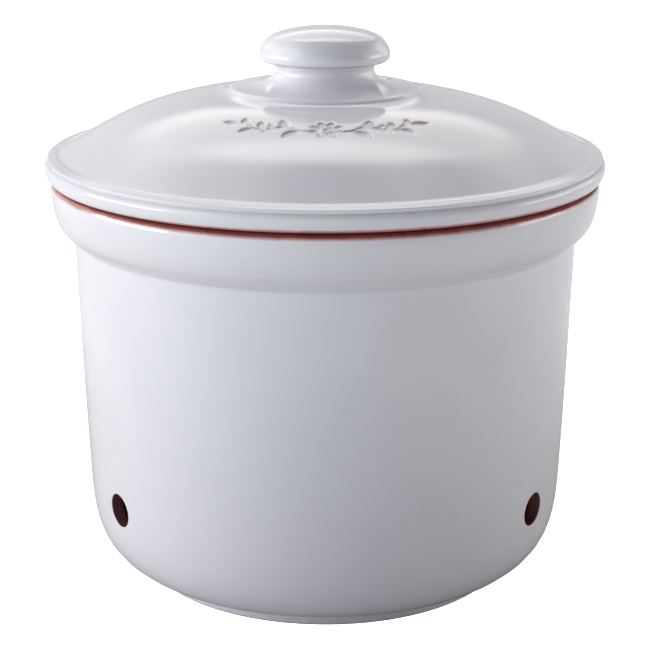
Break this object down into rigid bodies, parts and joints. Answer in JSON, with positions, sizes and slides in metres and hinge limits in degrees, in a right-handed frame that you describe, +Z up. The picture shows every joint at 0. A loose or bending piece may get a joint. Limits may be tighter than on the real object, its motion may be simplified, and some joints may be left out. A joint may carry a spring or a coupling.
{
  "type": "ventilated storage pot with lid",
  "caption": "Round glazed terracotta keeper pot with vent holes low in its wall and a domed, knobbed lid that lifts off its rim.",
  "frame": {"origin": "centre of the foot ring, on the plane the pot stands on", "axes": "+Z up along the turning axis of the pot and the lid, front towards -Y, vent holes to both sides of the front and one at the back"},
  "size_m": [0.25, 0.25, 0.2491],
  "materials": {
    "pot_glaze": "gloss",
    "lid_glaze": "gloss"
  },
  "bodies": {
    "pot": {"pot": "pot_glaze"},
    "lid": {"lid": "lid_glaze"}
  },
  "joints": [
    {"name": "lid_lift", "type": "slide", "parent": "pot", "child": "lid", "axis": [0, 0, 1], "range_m": [0, 0.12]}
  ]
}
